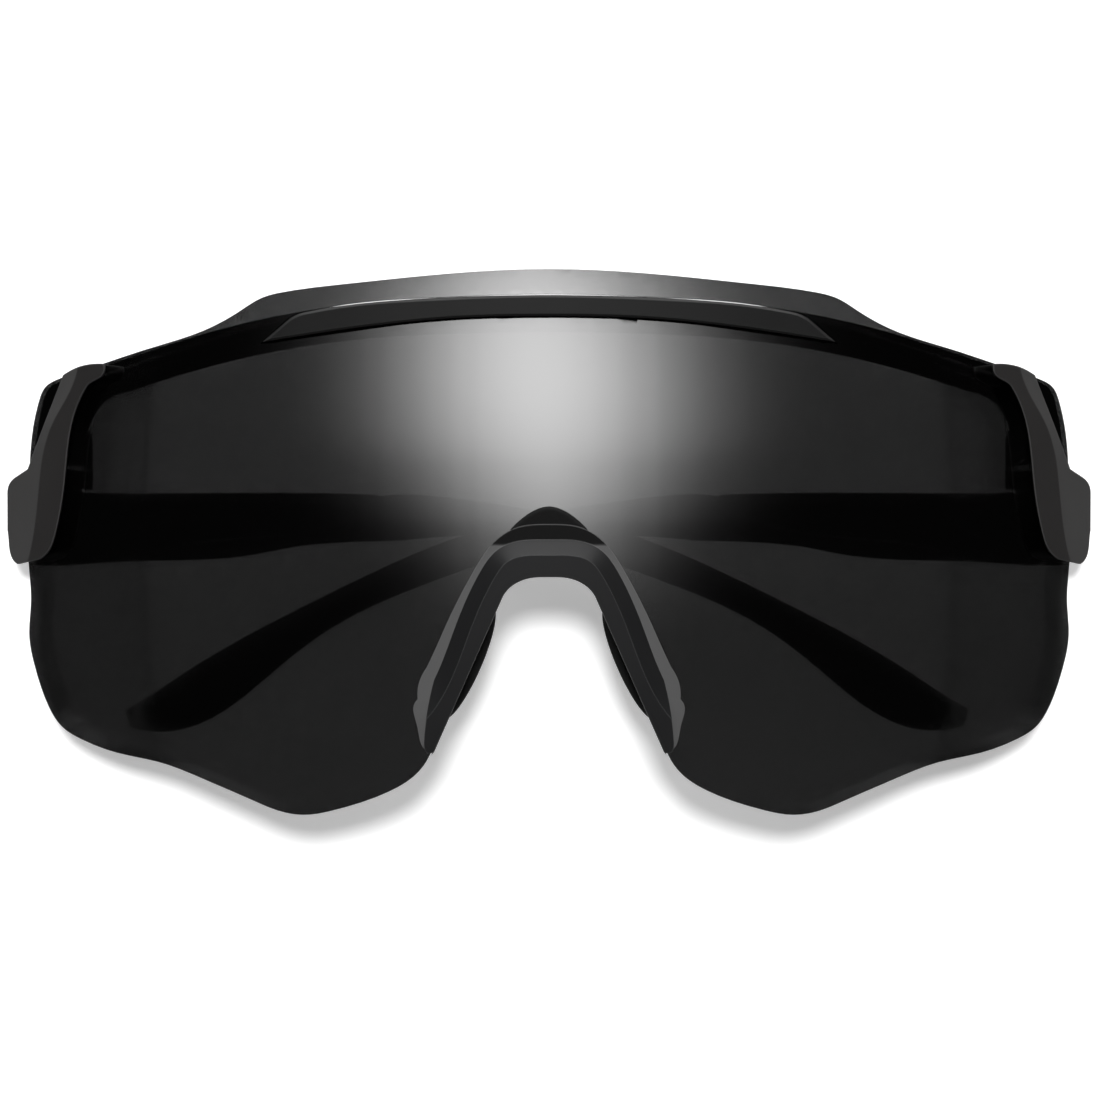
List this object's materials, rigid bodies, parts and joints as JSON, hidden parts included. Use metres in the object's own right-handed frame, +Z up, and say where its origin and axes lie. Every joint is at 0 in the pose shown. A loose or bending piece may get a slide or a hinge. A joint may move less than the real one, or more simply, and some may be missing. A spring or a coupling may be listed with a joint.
{
  "type": "wraparound sport sunglasses",
  "caption": "Wraparound sport sunglasses: one deep shield lens, slim brow bar through it, stepped nose bridge with pivoting pads, side grips and hinged temples with rubber socks, shown folded.",
  "frame": {"origin": "middle of the bottom of the box round the folded sunglasses", "axes": "+X to the wearer's left, +Y from the lens to the rear, +Z up"},
  "size_m": [0.1446, 0.0534, 0.0709],
  "materials": {
    "lens": "dark grey mirror-coated polycarbonate, polished",
    "frame": "satin dark grey moulded nylon",
    "side": "satin dark grey moulded nylon",
    "bridge": "satin dark grey moulded nylon",
    "carrier": "black moulded nylon",
    "arm": "black moulded nylon",
    "sock": "matt black soft rubber",
    "pad": "matt black soft rubber",
    "steel": "blackened stainless steel"
  },
  "bodies": {
    "front": {"shield_lens": "lens", "brow_frame": "frame", "nose_bridge": "bridge", "nose_carrier": "carrier", "nose_screw": "steel", "end_piece_left": "side", "end_piece_right": "side", "end_piece_screw_left": "steel", "end_piece_screw_right": "steel", "hinge_screw_left": "steel", "hinge_screw_right": "steel", "pad_pin_left": "steel", "pad_pin_right": "steel"},
    "left_temple": {"temple_arm_left": "arm", "ear_sock_left": "sock"},
    "right_temple": {"temple_arm_right": "arm", "ear_sock_right": "sock"},
    "left_pad": {"pad_holder_left": "carrier", "nose_pad_left": "pad"},
    "right_pad": {"pad_holder_right": "carrier", "nose_pad_right": "pad"}
  },
  "joints": [
    {"name": "left_temple_hinge", "type": "hinge", "parent": "front", "child": "left_temple", "pos_m": [0.066, 0.01826, 0.0373], "axis": [0, 0, -1], "range_deg": [0, 90]},
    {"name": "right_temple_hinge", "type": "hinge", "parent": "front", "child": "right_temple", "pos_m": [-0.066, 0.01826, 0.0373], "axis": [0, 0, 1], "range_deg": [0, 85.5]},
    {"name": "left_pad_pivot", "type": "hinge", "parent": "front", "child": "left_pad", "pos_m": [0.01221, -0.01444, 0.0205], "axis": [-0.4016, 0, 0.9158], "range_deg": [-8, 8]},
    {"name": "right_pad_pivot", "type": "hinge", "parent": "front", "child": "right_pad", "pos_m": [-0.01221, -0.01444, 0.0205], "axis": [-0.4016, 0, -0.9158], "range_deg": [-8, 8]}
  ]
}
